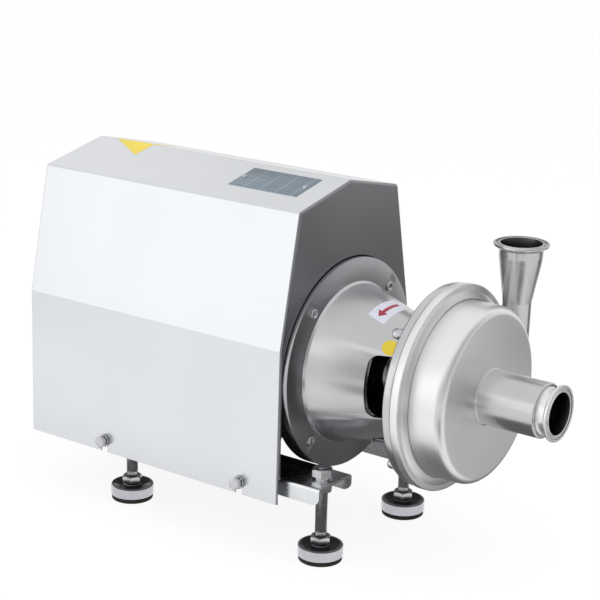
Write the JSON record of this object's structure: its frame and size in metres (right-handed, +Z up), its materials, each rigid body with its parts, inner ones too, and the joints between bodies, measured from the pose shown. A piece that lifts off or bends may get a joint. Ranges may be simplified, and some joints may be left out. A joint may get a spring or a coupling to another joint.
{
  "type": "vacuum pump",
  "caption": "Stainless hygienic centrifugal pump with axial suction, upright tangential discharge, conical lantern, hooded flange motor and levelling feet on two rails.",
  "frame": {"origin": "middle of the whole pump's box, on the floor under its feet", "axes": "+X along the shaft towards the suction port, +Z up, +Y towards the side of the discharge nozzle"},
  "size_m": [0.6698, 0.2808, 0.4289],
  "materials": {
    "hood_steel": "satin folded stainless sheet",
    "base_steel": "satin stainless channel",
    "pump_steel": "polished and satin stainless steel",
    "fastener_steel": "bright stainless steel",
    "foot_chrome": "polished chrome",
    "shaft_steel": "ground steel",
    "core_steel": "stacked laminations",
    "winding_copper": "varnished copper winding",
    "motor_paint": "black painted aluminium and sheet",
    "motor_iron": "black painted cast iron",
    "black_plastic": "black moulded plastic",
    "seal_ceramic": "lapped ceramic and carbon",
    "rubber": "black rubber"
  },
  "bodies": {
    "base": {"adapter_lantern": "pump_steel", "back_plate": "pump_steel", "cable_gland": "black_plastic", "casing_o_ring": "rubber", "casing_studs": "fastener_steel", "discharge_nozzle": "pump_steel", "dome_nuts": "fastener_steel", "fan_cowl": "motor_paint", "flange_bolts": "fastener_steel", "foot_bolts": "fastener_steel", "foot_top_nuts": "fastener_steel", "foot_under_nuts": "fastener_steel", "front_bearing_outer": "shaft_steel", "hood_screws": "fastener_steel", "left_rail": "base_steel", "motor_frame": "motor_paint", "motor_front_shield": "motor_iron", "motor_rear_shield": "motor_iron", "rear_bearing_outer": "shaft_steel", "right_rail": "base_steel", "seal_seat": "seal_ceramic", "stator_core": "core_steel", "stator_windings": "winding_copper", "suction_tube": "pump_steel", "terminal_block": "black_plastic", "terminal_box": "motor_paint", "terminal_box_lid": "motor_paint", "volute_casing": "pump_steel"},
    "rotor": {"motor_shaft": "shaft_steel", "shaft_key": "shaft_steel", "rotor_core": "core_steel", "cooling_fan": "black_plastic", "front_bearing_inner": "shaft_steel", "rear_bearing_inner": "shaft_steel", "stub_shaft": "shaft_steel", "set_screws": "fastener_steel", "impeller": "pump_steel", "impeller_nut": "pump_steel", "seal_ring": "seal_ceramic", "seal_spring": "shaft_steel"},
    "hood": {"hood": "hood_steel"},
    "foot_front_left": {"foot_front_left_stem": "fastener_steel", "foot_front_left_lock_nut": "fastener_steel"},
    "pad_front_left": {"foot_front_left_cup": "foot_chrome", "foot_front_left_sole": "rubber"},
    "foot_front_right": {"foot_front_right_stem": "fastener_steel", "foot_front_right_lock_nut": "fastener_steel"},
    "pad_front_right": {"foot_front_right_cup": "foot_chrome", "foot_front_right_sole": "rubber"},
    "foot_rear_left": {"foot_rear_left_stem": "fastener_steel", "foot_rear_left_lock_nut": "fastener_steel"},
    "pad_rear_left": {"foot_rear_left_cup": "foot_chrome", "foot_rear_left_sole": "rubber"},
    "foot_rear_right": {"foot_rear_right_stem": "fastener_steel", "foot_rear_right_lock_nut": "fastener_steel"},
    "pad_rear_right": {"foot_rear_right_cup": "foot_chrome", "foot_rear_right_sole": "rubber"}
  },
  "joints": [
    {"name": "rotor_spin", "type": "hinge", "parent": "base", "child": "rotor", "pos_m": [0, 0, 0.212], "axis": [1, 0, 0], "continuous": true},
    {"name": "hood_lift", "type": "slide", "parent": "base", "child": "hood", "axis": [0, 0, 1], "range_m": [0, 0.33]},
    {"name": "foot_front_left_height", "type": "slide", "parent": "base", "child": "foot_front_left", "axis": [0, 0, 1], "range_m": [-0.006, 0.01]},
    {"name": "pad_front_left_turn", "type": "hinge", "parent": "foot_front_left", "child": "pad_front_left", "pos_m": [0.08365, -0.0865, 0], "axis": [0, 0, 1], "continuous": true},
    {"name": "foot_front_right_height", "type": "slide", "parent": "base", "child": "foot_front_right", "axis": [0, 0, 1], "range_m": [-0.006, 0.01]},
    {"name": "pad_front_right_turn", "type": "hinge", "parent": "foot_front_right", "child": "pad_front_right", "pos_m": [0.08365, 0.0865, 0], "axis": [0, 0, 1], "continuous": true},
    {"name": "foot_rear_left_height", "type": "slide", "parent": "base", "child": "foot_rear_left", "axis": [0, 0, 1], "range_m": [-0.006, 0.01]},
    {"name": "pad_rear_left_turn", "type": "hinge", "parent": "foot_rear_left", "child": "pad_rear_left", "pos_m": [-0.20655, -0.0865, 0], "axis": [0, 0, 1], "continuous": true},
    {"name": "foot_rear_right_height", "type": "slide", "parent": "base", "child": "foot_rear_right", "axis": [0, 0, 1], "range_m": [-0.006, 0.01]},
    {"name": "pad_rear_right_turn", "type": "hinge", "parent": "foot_rear_right", "child": "pad_rear_right", "pos_m": [-0.20655, 0.0865, 0], "axis": [0, 0, 1], "continuous": true}
  ]
}
